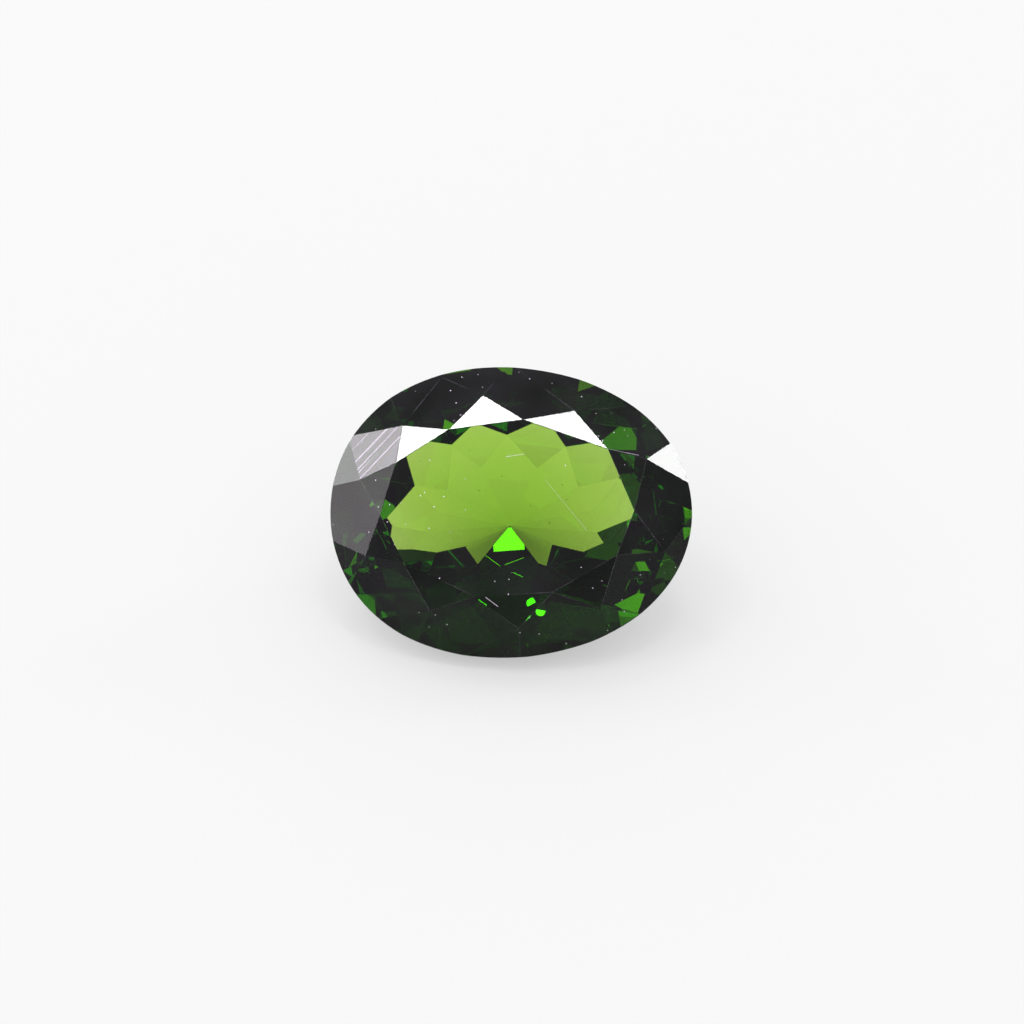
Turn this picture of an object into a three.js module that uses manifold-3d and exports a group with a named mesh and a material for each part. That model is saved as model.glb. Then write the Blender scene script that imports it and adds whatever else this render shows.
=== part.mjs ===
// An oval faceted gemstone in clear dark green crystal, millimetres, +Z up.
// It is cut as a lapidary cuts it: an oval blank, then one flat facet after another.
// Every facet is the plane through three corners of the cut. The corners are in the
// stone's own frame: x along the long axis, z square to the table, z = 0 halfway up
// the girdle. At the end the stone is turned to lie on its front pavilion facet.
import * as THREE from "three";
import { mergeVertices } from "three/addons/utils/BufferGeometryUtils.js";
import Module from "manifold-3d";

// Driving dimensions of the outline and the height
const LENGTH = 10; // long axis of the girdle
const WIDTH = 8.1; // short axis of the girdle
const EGG = 0.05; // how much the left end is fuller than the right one
const FULLNESS = 0.06; // how much fuller than an ellipse the ends are
const GIRDLE = 0.2; // height of the girdle band
const CROWN = 1.15; // from the girdle up to the table
const CULET = [-0.1, -0.14, -3.39]; // lowest point of the pavilion
const GIRDLE_SIDES = 120; // flats round the girdle band

// Crown corners, anticlockwise seen from below, from the left end over the back
const TABLE = [
  [-3.15, 1.15], [-1.7, 2.1], [0.35, 2.4], [2.7, 1.6], [3.45, -0.1],
  [3.0, -1.35], [1.25, -2.4], [-0.9, -2.55], [-2.9, -1.6], [-3.55, -0.3],
];
// Outer tip of the star facet between table corners k and k + 1
const STAR_TIP = [
  [-3.0, 2.25, 0.92], [-0.8, 3.15, 0.75], [1.75, 2.7, 1.0], [3.75, 1.4, 0.89],
  [4.3, -1.15, 0.71], [2.55, -2.75, 0.65], [0.3, -3.35, 0.77],
  [-2.15, -2.9, 0.83], [-3.95, -1.4, 0.89], [-4.15, 0.75, 0.77],
];
// Crown mains with a broad end on the girdle: half of its angle in degrees
const BROAD_END = { 4: 6, 9: 10 };

// Pavilion corners, anticlockwise seen from above, from the right end over the back.
// A ring corner is the inner end of a pavilion main.
const RING = [
  [2.2, 0.19, -1.99], [1.8, 0.86, -2.2], [0.66, 1.39, -2.34], [-0.9, 1.37, -2.38],
  [-1.81, 0.74, -2.47], [-2.05, 0.1, -2.25], [-2.4, -0.47, -1.91],
  [-1.3, -0.81, -2.47], [-1.07, -1.48, -2.33], [0.74, -1.26, -2.59],
  [1.1, -0.72, -2.56], [2.35, -0.44, -1.86],
];
// A notch is the outer corner of the inner facet between ring corners k and k + 1.
// A broad inner facet has two: one beside each of its two mains.
const NOTCH = [
  [[2.95, 1.05]], [[1.45, 1.95]], [[-0.19, 2.26]], [[-1.71, 1.97]], [[-2.71, 0.82]],
  [[-3.3, -0.37]], [[-2.9, -1.3], [-2.08, -1.04]], [[-0.93, -1.33]],
  [[-0.25, -3.07], [0.41, -3.0]], [[0.95, -1.34]], [[2.0, -0.97], [2.67, -0.94]],
  [[3.4, -0.05]],
];
const REST_FACET = 8; // inner pavilion facet that the stone lies on

const COLOUR = 0x2f6b1a;
const ROUGHNESS = 0.03;
const GIRDLE_TOP = GIRDLE / 2;
const GIRDLE_FOOT = -GIRDLE / 2;
const TABLE_TOP = GIRDLE_TOP + CROWN;
const TURN = 2 * Math.PI;

const { Manifold, Mesh } = await loadManifold();

async function loadManifold() {
  const wasm = await Module();
  wasm.setup();
  return wasm;
}

// Point of the girdle outline at a parameter angle
function outline(angle) {
  const c = Math.cos(angle);
  const y = 0.5 * WIDTH * Math.sin(angle) * (1 - EGG * c) * (1 + FULLNESS * c * c);
  return new THREE.Vector2(0.5 * LENGTH * c, y);
}

function girdlePoint(angle, z) {
  const p = outline(angle);
  return new THREE.Vector3(p.x, p.y, z);
}

// Plane through three corners whose normal points out of the stone
function facet(a, b, c) {
  const plane = new THREE.Plane().setFromCoplanarPoints(a, b, c);
  return plane.constant > 0 ? plane.negate() : plane;
}

// Parameter angle of the outline point that lies farthest out along a facet's normal
function girdleTouch(plane) {
  const steps = 1440;
  let best = 0;
  let reach = -Infinity;
  for (let i = 0; i < steps; i += 1) {
    const angle = (TURN * i) / steps;
    const p = outline(angle);
    const along = p.x * plane.normal.x + p.y * plane.normal.y;
    if (along > reach) {
      reach = along;
      best = angle;
    }
  }
  return best;
}

// The two girdle facets between the ends of two mains, from the corners above or
// below them down to the girdle's edge at height z
function girdlePair(cornerA, cornerB, from, to, z) {
  let end = to;
  while (end < from) end += TURN;
  const start = girdlePoint(from, z);
  const middle = girdlePoint((from + end) / 2, z);
  return [facet(cornerA, start, middle), facet(cornerB, middle, girdlePoint(end, z))];
}

function crownFacets() {
  const corners = TABLE.map(([x, y]) => new THREE.Vector3(x, y, TABLE_TOP));
  const tips = STAR_TIP.map((tip) => new THREE.Vector3(...tip));
  const count = corners.length;
  const before = (k) => (k + count - 1) % count;
  const after = (k) => (k + 1) % count;
  const stars = corners.map((p, k) => facet(p, corners[after(k)], tips[k]));
  const mains = corners.map((p, k) => facet(p, tips[before(k)], tips[k]));
  const touch = mains.map(girdleTouch);
  const broad = (k) => THREE.MathUtils.degToRad(BROAD_END[k] ?? 0);
  const pairs = tips.flatMap((tip, k) => {
    const from = touch[after(k)] + broad(after(k));
    return girdlePair(tip, tip, from, touch[k] - broad(k), GIRDLE_TOP);
  });
  return [...stars, ...mains, ...pairs];
}

function pavilionFacets() {
  const culet = new THREE.Vector3(...CULET);
  const ring = RING.map((corner) => new THREE.Vector3(...corner));
  const count = ring.length;
  const before = (k) => (k + count - 1) % count;
  const after = (k) => (k + 1) % count;
  const inner = ring.map((p, k) => facet(culet, p, ring[after(k)]));
  const notches = NOTCH.map((list, k) => list.map(([x, y]) => onPlane(inner[k], x, y)));
  const mains = ring.map((p, k) => facet(p, notches[before(k)].at(-1), notches[k][0]));
  const touch = mains.map(girdleTouch);
  const pairs = notches.flatMap((list, k) =>
    girdlePair(list[0], list.at(-1), touch[k], touch[after(k)], GIRDLE_FOOT),
  );
  return { facets: [...inner, ...mains, ...pairs], rest: inner[REST_FACET] };
}

// Point of a plane straight above or below (x, y)
function onPlane(plane, x, y) {
  const n = plane.normal;
  return new THREE.Vector3(x, y, -(plane.constant + n.x * x + n.y * y) / n.z);
}

// A three.js geometry as a solid that can be cut
function solid(geometry) {
  const bare = geometry.clone();
  bare.deleteAttribute("normal");
  bare.deleteAttribute("uv");
  const merged = mergeVertices(bare, 1e-6);
  return new Manifold(
    new Mesh({
      numProp: 3,
      vertProperties: merged.attributes.position.array,
      triVerts: new Uint32Array(merged.index.array),
    }),
  );
}

// Oval block from the culet's level to the table
function blank() {
  const points = [];
  for (let i = 0; i < GIRDLE_SIDES; i += 1) points.push(outline((TURN * i) / GIRDLE_SIDES));
  const depth = TABLE_TOP - CULET[2] + 0.1;
  const settings = { depth, bevelEnabled: false };
  const geometry = new THREE.ExtrudeGeometry(new THREE.Shape(points), settings);
  return solid(geometry.translate(0, 0, TABLE_TOP - depth));
}

// Block that covers everything on the outer side of a facet's plane
function outside(plane) {
  const size = 4 * LENGTH;
  const block = new THREE.BoxGeometry(size, size, size).translate(0, 0, size / 2);
  const foot = plane.coplanarPoint(new THREE.Vector3());
  const turn = new THREE.Quaternion().setFromUnitVectors(
    new THREE.Vector3(0, 0, 1),
    plane.normal,
  );
  block.applyQuaternion(turn).translate(foot.x, foot.y, foot.z);
  return solid(block);
}

function cutStone(facets) {
  return facets.reduce((stone, plane) => stone.subtract(outside(plane)), blank());
}

function toGeometry(stone) {
  const cut = stone.getMesh();
  const geometry = new THREE.BufferGeometry();
  geometry.setAttribute("position", new THREE.BufferAttribute(cut.vertProperties, 3));
  geometry.setIndex(new THREE.BufferAttribute(cut.triVerts, 1));
  return geometry;
}

// Turn that lays a facet face down and keeps the long axis along x
function restingTurn(plane) {
  const up = plane.normal.clone().negate();
  const right = new THREE.Vector3(1, 0, 0).projectOnPlane(up).normalize();
  const back = up.clone().cross(right);
  const toStone = new THREE.Matrix4().makeBasis(right, back, up);
  return new THREE.Quaternion().setFromRotationMatrix(toStone.invert());
}

function gemstone() {
  const pavilion = pavilionFacets();
  const material = new THREE.MeshStandardMaterial({
    color: COLOUR,
    roughness: ROUGHNESS,
    metalness: 0,
    transparent: true,
    opacity: 0.35,
    flatShading: true,
  });
  const facets = [...crownFacets(), ...pavilion.facets];
  const mesh = new THREE.Mesh(toGeometry(cutStone(facets)), material);
  mesh.name = "gemstone";
  mesh.quaternion.copy(restingTurn(pavilion.rest));
  const box = new THREE.Box3().setFromObject(mesh, true);
  const middle = box.getCenter(new THREE.Vector3());
  mesh.position.set(-middle.x, -middle.y, -box.min.z);
  return mesh;
}

const group = new THREE.Group();
group.name = "chrome_diopside";
group.add(gemstone());

export default group;
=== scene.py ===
import math

import bmesh
import bpy
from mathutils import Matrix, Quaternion, Vector


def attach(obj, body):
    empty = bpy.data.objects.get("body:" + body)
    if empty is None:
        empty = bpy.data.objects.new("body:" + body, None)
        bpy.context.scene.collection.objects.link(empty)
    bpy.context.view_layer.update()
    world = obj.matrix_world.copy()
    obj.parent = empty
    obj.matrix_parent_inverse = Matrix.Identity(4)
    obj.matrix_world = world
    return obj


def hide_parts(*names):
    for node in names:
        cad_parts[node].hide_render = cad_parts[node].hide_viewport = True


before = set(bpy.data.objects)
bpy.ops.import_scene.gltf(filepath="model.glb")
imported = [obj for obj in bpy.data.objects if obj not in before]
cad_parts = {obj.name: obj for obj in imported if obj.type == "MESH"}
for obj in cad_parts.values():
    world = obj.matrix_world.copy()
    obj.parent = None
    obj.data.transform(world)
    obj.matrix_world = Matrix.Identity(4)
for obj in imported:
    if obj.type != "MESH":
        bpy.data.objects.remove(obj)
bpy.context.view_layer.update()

# Sizes are in metres, with the stone standing at the origin on z = 0
MM = 0.001
SCENE = bpy.context.scene

# View of the photograph, in degrees and millimetres of the frame's width
CAMERA_AZIMUTH = 1.45
CAMERA_ELEVATION = 44.05
CAMERA_ROLL = 1.38
CAMERA_LENS = 400
SENSOR = 36
FRAME_WIDTH = 28.29 * MM
FRAME_CENTRE = Vector((0.023, 0.002, 2.804)) * MM

# Chrome diopside: refraction, and the light it takes off in each millimetre
REFRACTION = 1.68
TAKEN_RED = 0.265
TAKEN_GREEN = 0.10
TAKEN_BLUE = 0.79
HAZE = 0.011

# Marks on the surface
SPECK = 0.022 * MM
SPECK_SPACING = 0.3 * MM
EDGE_WEAR = 0.007 * MM
LONG_EDGE = 0.05 * MM  # shorter edges and their neighbours stay sharp
BROAD_FACET = 0.1 * MM**2
SCRATCH_WIDTH = 0.012 * MM
# Hair lines: both ends in millimetres, and how white the line is
SCRATCHES = [
    ((2.57, 0.52, 4.87), (3.45, 0.62, 4.58), 0.5),
    ((0.92, -0.18, 4.27), (2.14, -1.31, 3.47), 0.12),
    ((-0.19, 0.32, 4.6), (0.31, 0.39, 4.67), 0.35),
    ((-0.57, -2.8, 2.21), (-0.23, -2.9, 1.98), 0.8),
]
# The crown facet with polishing lines: a point near its middle, the way it faces,
# and the way its lines run
POLISHED_POINT = Vector((-3.85, 0.86, 4.13)) * MM
POLISHED_FACING = Vector((-0.543, -0.235, 0.806))
POLISH_ALONG = Vector((0.72, 0.5, 0.48))
LINES_PER_MM = 9
LINE_LENGTH = 6.25 * MM

# Brightness of the room in reflections and through the stone, and of the light that
# matt surfaces gather, which comes mostly from the back and the left
ROOM = 0.05
ROOM_THROUGH = 0.009
HORIZON = 0.95
FILL = 1.6
FILL_SIDE = Vector((-0.35, 0.6, 0))

LAMP_DISTANCE = 0.4
GLINT = 3.8  # radiance of the tiny lamps

# White floor: how light it is, and how much of that is painted light, an emission that lightens
# its shadow
FLOOR_RADIUS = 80 * MM
FLOOR_GAP = 0.02 * MM
FLOOR_PALE = 0.49
FLOOR_LEVEL = 0.948
FLOOR_PAINTED_GLOW = 0.5
# colour of the floor's painted shade in reflections and far out through the stone
FLOOR_PAINTED_SHADE = 0.08
NEAR_FLOOR = 7 * MM  # rays through the stone see the white floor out to here; farther out it is painted shade


def direction(azimuth, elevation):
    """Unit vector: azimuth 0 points to the back and 90 to the right, in degrees."""
    a, e = math.radians(azimuth), math.radians(elevation)
    return Vector((math.sin(a) * math.cos(e), math.cos(a) * math.cos(e), math.sin(e)))


class Value:
    """A shader socket that takes part in sums."""

    def __init__(self, graph, socket):
        self.graph = graph
        self.socket = socket

    def math(self, operation, *values):
        return self.graph.node("ShaderNodeMath", {"operation": operation}, values)

    def __add__(self, other):
        return self.math("ADD", self, other)

    def __radd__(self, other):
        return self.math("ADD", other, self)

    def __sub__(self, other):
        return self.math("SUBTRACT", self, other)

    def __rsub__(self, other):
        return self.math("SUBTRACT", other, self)

    def __mul__(self, other):
        return self.math("MULTIPLY", self, other)

    def __rmul__(self, other):
        return self.math("MULTIPLY", other, self)

    def dot(self, way):
        return self.graph.vector("DOT_PRODUCT", "Value", self, tuple(way))

    def ramp(self, start, end, low=0.0, high=1.0):
        """Goes from low to high while this value goes from start to end."""
        limits = {
            "Value": self,
            "From Min": start,
            "From Max": end,
            "To Min": low,
            "To Max": high,
        }
        return self.graph.node("ShaderNodeMapRange", {"clamp": True}, limits)


class Graph:
    """A new material and the nodes that make it."""

    def __init__(self, name="", tree=None):
        self.material = None
        self.tree = tree
        if tree is None:
            self.material = bpy.data.materials.new(name)
            self.material.use_nodes = True
            self.tree = self.material.node_tree
        self.tree.nodes.clear()

    def node(self, kind, settings=None, values=(), output=0):
        """Adds a node: its settings first, then each socket's value or link."""
        made = self.tree.nodes.new(kind)
        for name, value in (settings or {}).items():
            setattr(made, name, value)
        named = values.items() if isinstance(values, dict) else enumerate(values)
        for key, value in named:
            if isinstance(value, Value):
                self.tree.links.new(value.socket, made.inputs[key])
            else:
                made.inputs[key].default_value = value
        return Value(self, made.outputs[output])

    def vector(self, operation, output, *values):
        return self.node("ShaderNodeVectorMath", {"operation": operation}, values, output)

    def noise(self, place, scale, detail=2.0):
        values = {"Vector": place, "Scale": scale, "Detail": detail}
        return self.node("ShaderNodeTexNoise", values=values, output="Fac")

    def face_mark(self, name):
        return self.node("ShaderNodeAttribute", {"attribute_name": name}, output="Fac")

    def light_path(self, question):
        return self.node("ShaderNodeLightPath", output=question)

    def matt(self, *colour):
        return self.node("ShaderNodeBsdfDiffuse", values={"Color": (*colour, 1)})

    def finish(self, surface, volume=None, kind="ShaderNodeOutputMaterial"):
        sockets = {"Surface": surface}
        if volume is not None:
            sockets["Volume"] = volume
        made = self.tree.nodes.new(kind)
        for key, value in sockets.items():
            self.tree.links.new(value.socket, made.inputs[key])
        return self.material


def dust(g, place):
    """Sparse pale specks that lie on the facets."""
    cells = {"Vector": place, "Scale": 1 / SPECK_SPACING}
    nearest = g.node("ShaderNodeTexVoronoi", values=cells, output="Distance")
    size = SPECK / SPECK_SPACING
    return nearest.ramp(size, 0.6 * size) * g.noise(place, 400).ramp(0.4, 0.5)


def scratch(g, place, start, end, strength):
    """A straight hair line between two points of the surface."""
    start, end = Vector(start) * MM, Vector(end) * MM
    line = end - start
    from_start = g.vector("SUBTRACT", "Vector", place, tuple(start))
    along = (from_start.dot(line) * (1 / line.length_squared)).ramp(0, 1)
    stretch = {0: tuple(line), "Scale": along}
    foot = g.node("ShaderNodeVectorMath", {"operation": "SCALE"}, stretch, "Vector")
    gap = g.vector("DISTANCE", "Value", from_start, foot)
    return gap.ramp(SCRATCH_WIDTH, 0.4 * SCRATCH_WIDTH, 0, strength)


def polish_lines_and_painted_sheen(g, place):
    """Fine parallel lines that the lap left on one facet, drawn pale as a painted highlight of
    the bright panel that the facet mirrors.
    """
    along = POLISH_ALONG.normalized()
    across = along.cross(POLISHED_FACING).normalized()
    steps = (place.dot(across) * (LINES_PER_MM / MM), place.dot(along) * (1 / LINE_LENGTH))
    stretched = g.node("ShaderNodeCombineXYZ", values=steps)
    return g.noise(stretched, 1.0).ramp(0.53, 0.62) * g.face_mark("polished")


def crystal_material():
    """Clear green crystal. A very thin matt veil carries the haze, dust, scratches and edge wear,
    and pale polishing lines that are partly a painted highlight.
    """
    g = Graph("chrome_diopside")
    place = g.node("ShaderNodeTexCoord", output="Object")
    clear = g.node(
        "ShaderNodeBsdfPrincipled",
        values={
            "Base Color": (1, 1, 1, 1),
            "Roughness": 0.0,
            "IOR": REFRACTION,
            "Transmission Weight": 1.0,
        },
    )
    haze = g.matt(0.92, 0.78, 1)
    smoke = g.noise(place, 500, 4.0).ramp(0.3, 0.7, 0.6 * HAZE, 1.4 * HAZE)
    chafed = g.face_mark("worn") * g.noise(place, 900).ramp(0.4, 0.65)
    # the pale polishing lines here are a painted highlight; dust, wear and scratches are real
    marks_and_painted_sheen = dust(g, place) * 0.7 + polish_lines_and_painted_sheen(g, place) * 0.3 + chafed * 0.07
    for start, end, strength in SCRATCHES:
        marks_and_painted_sheen = marks_and_painted_sheen + scratch(g, place, start, end, strength)
    veil = g.node("ShaderNodeMath", {"operation": "ADD", "use_clamp": True}, (smoke, marks_and_painted_sheen))
    surface = g.node("ShaderNodeMixShader", values=(veil, clear, haze))
    density = max(TAKEN_RED, TAKEN_GREEN, TAKEN_BLUE)
    kept = [1 - taken / density for taken in (TAKEN_RED, TAKEN_GREEN, TAKEN_BLUE)]
    volume = g.node(
        "ShaderNodeVolumeAbsorption",
        values={"Color": (*kept, 1), "Density": density / MM},
    )
    return g.finish(surface, volume)


def floor_material():
    """White paper. A part of its light is painted light, an emission that keeps the shadow light.

    It is painted darker in reflections and, farther out, through the stone: painted shade.
    """
    g = Graph("white_table")
    # painted light: the floor's emission, though it is no lamp, lightens the shadow around the
    # stone
    painted_glow = g.node("ShaderNodeEmission", values={"Color": (*[FLOOR_LEVEL] * 3, 1)})
    lit_and_painted_glow = g.node("ShaderNodeMixShader", values=(FLOOR_PAINTED_GLOW, g.matt(*[FLOOR_PALE] * 3), painted_glow))
    place = g.node("ShaderNodeTexCoord", output="Object")
    # painted shade: a dark floor for reflection rays and, far out, for rays through the stone
    far = g.vector("LENGTH", "Value", place).ramp(NEAR_FLOOR, 1.6 * NEAR_FLOOR)
    reflected = g.light_path("Is Reflection Ray")
    painted_shade_mask = reflected.math("MAXIMUM", reflected, g.light_path("Is Transmission Ray") * far)
    dim = g.matt(*[FLOOR_PAINTED_SHADE] * 3)
    surface = g.node("ShaderNodeMixShader", values=(painted_shade_mask, lit_and_painted_glow, dim))
    return g.finish(surface)


def piece(name, shape, material):
    """A flat-sided object from a bmesh, at the origin."""
    mesh = bpy.data.meshes.new(name)
    shape.to_mesh(mesh)
    shape.free()
    mesh.materials.append(material)
    for polygon in mesh.polygons:
        polygon.use_smooth = False
    made = bpy.data.objects.new(name, mesh)
    SCENE.collection.objects.link(made)
    return made


def wear_edges(shape):
    """Takes the sharpness off the longer edges and marks their narrow new faces."""
    broad = [f for f in shape.faces if f.calc_area() > BROAD_FACET]
    crowded = {v for e in shape.edges if e.calc_length() < LONG_EDGE for v in e.verts}
    sharp = [
        e
        for e in shape.edges
        if all(f in broad for f in e.link_faces) and crowded.isdisjoint(e.verts)
    ]
    worn = shape.faces.layers.float.new("worn")
    rounded = bmesh.ops.bevel(
        shape,
        geom=sharp,
        offset=EDGE_WEAR,
        offset_type="OFFSET",
        segments=1,
        profile=0.5,
        affect="EDGES",
        clamp_overlap=False,
        material=-1,
    )
    for face in rounded["faces"]:
        face[worn] = 1.0


def crystal():
    """The cut stone, with each facet as one face."""
    shape = bmesh.new()
    shape.from_mesh(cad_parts["gemstone"].data)
    bmesh.ops.remove_doubles(shape, verts=shape.verts, dist=0.001 * MM)
    bmesh.ops.dissolve_limit(
        shape,
        angle_limit=math.radians(0.3),
        use_dissolve_boundaries=False,
        verts=shape.verts,
        edges=shape.edges,
    )
    wear_edges(shape)
    polished = shape.faces.layers.float.new("polished")
    nearest = min(shape.faces, key=lambda f: (f.calc_center_median() - POLISHED_POINT).length)
    nearest[polished] = 1.0
    stone = piece("crystal", shape, crystal_material())
    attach(stone, "root")
    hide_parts("gemstone")


def table_top():
    shape = bmesh.new()
    bmesh.ops.create_circle(shape, cap_ends=True, segments=96, radius=FLOOR_RADIUS)
    bmesh.ops.translate(shape, verts=shape.verts, vec=(0, 0, -FLOOR_GAP))
    piece("table_top", shape, floor_material())


def lamp(name, place, way, width, height, radiance, behind, tint, shape="RECTANGLE"):
    """A flat lamp that shows in the facets' reflections, or if behind through the stone."""
    light = bpy.data.lights.new(name, "AREA")
    light.shape = shape
    light.size = width
    light.size_y = height
    light.energy = radiance * math.pi * width * height
    light.color = tint
    made = bpy.data.objects.new(name, light)
    SCENE.collection.objects.link(made)
    made.location = place
    made.rotation_mode = "QUATERNION"
    made.rotation_quaternion = way.to_track_quat("Z", "Y")
    made.visible_transmission = behind
    made.visible_glossy = not behind


def softbox(name, azimuth, elevation, width, height, radiance, behind=False, tint=(1, 1, 1)):
    """A panel that faces the stone from afar. Its width and height are in degrees."""
    way = direction(azimuth, elevation)
    wide = 2 * LAMP_DISTANCE * math.tan(math.radians(width / 2))
    high = 2 * LAMP_DISTANCE * math.tan(math.radians(height / 2))
    lamp(name, way * LAMP_DISTANCE, way, wide, high, radiance, behind, tint)


def glint(name, place, azimuth, elevation, width, height, tint, shape):
    """A tiny lamp close above the stone, which lights one spot deep inside it."""
    way = direction(azimuth, elevation)
    place = Vector(place) * MM
    lamp(name, place, way, width * MM, height * MM, GLINT, True, tint, shape)


def surroundings():
    """A dim room over a pale horizon. Light that matt surfaces gather is brighter."""
    world = bpy.data.worlds.new("dim_room")
    SCENE.world = world
    world.use_nodes = True
    g = Graph(tree=world.node_tree)
    way = g.node("ShaderNodeTexCoord", output="Generated")
    height = g.node("ShaderNodeSeparateXYZ", values=(way,), output="Z")
    through = g.light_path("Is Transmission Ray")
    above = ROOM - through * (ROOM - ROOM_THROUGH)
    room = height.ramp(-0.02, 0.04, HORIZON, above)
    seen = g.light_path("Is Camera Ray")
    sharp = (seen + g.light_path("Is Glossy Ray") + through).ramp(0, 1)
    fill = FILL + way.dot(FILL_SIDE * FILL)
    level = fill + sharp * (room - fill)
    light = g.node("ShaderNodeBackground", values={"Color": (1, 1, 1, 1), "Strength": level})
    g.finish(light, kind="ShaderNodeOutputWorld")


def camera():
    data = bpy.data.cameras.new("camera")
    data.lens = CAMERA_LENS
    data.sensor_width = SENSOR
    data.clip_start = 0.01
    data.clip_end = 10
    made = bpy.data.objects.new("camera", data)
    SCENE.collection.objects.link(made)
    SCENE.camera = made
    way = direction(180 - CAMERA_AZIMUTH, CAMERA_ELEVATION)
    distance = FRAME_WIDTH * CAMERA_LENS / SENSOR
    made.location = FRAME_CENTRE + way * distance
    made.rotation_mode = "QUATERNION"
    roll = Quaternion((0, 0, 1), math.radians(CAMERA_ROLL))
    made.rotation_quaternion = way.to_track_quat("Z", "Y") @ roll


def mirrored_panels():
    """Soft boxes that the crown facets mirror, and one that shows through the stone."""
    softbox("back_left", -67, 62, 7, 7, 18)
    softbox("back", -21, 58, 7, 7, 18)
    softbox("top", 35, 80, 7, 7, 18)
    softbox("left_panel", -65, 28, 10, 6, 5.8, tint=(1, 0.96, 1))
    softbox("left_low", -69, 17, 14, 14, 4.0)
    softbox("left_wall", -90, 22, 14, 36, 1.4, tint=(1, 0.93, 0.98))
    softbox("right_panel", 61, 21, 12, 10, 12)
    softbox("front_left", -96, 60, 6, 6, 0.5, behind=True)


def green_glints():
    """The bright triangle at the culet, and two sparks in front of it."""
    glint("culet_glint", (-0.31, 0.51, 17.18), -170.5, 83.4, 0.9, 0.67, (0.75, 1, 1), "RECTANGLE")
    glint("left_spark", (-0.32, -3.76, 16.01), -171.5, 63.5, 0.4, 0.3, (0.3, 1, 1), "ELLIPSE")
    glint("right_spark", (-1.71, -4.26, 15.8), -163.5, 61.9, 0.32, 0.28, (0.4, 1, 1), "ELLIPSE")


camera()
crystal()
table_top()
mirrored_panels()
green_glints()
surroundings()

SCENE.view_settings.view_transform = "Standard"
SCENE.cycles.max_bounces = 24
SCENE.cycles.transmission_bounces = 24
SCENE.cycles.glossy_bounces = 16
SCENE.cycles.caustics_refractive = False
SCENE.cycles.caustics_reflective = False
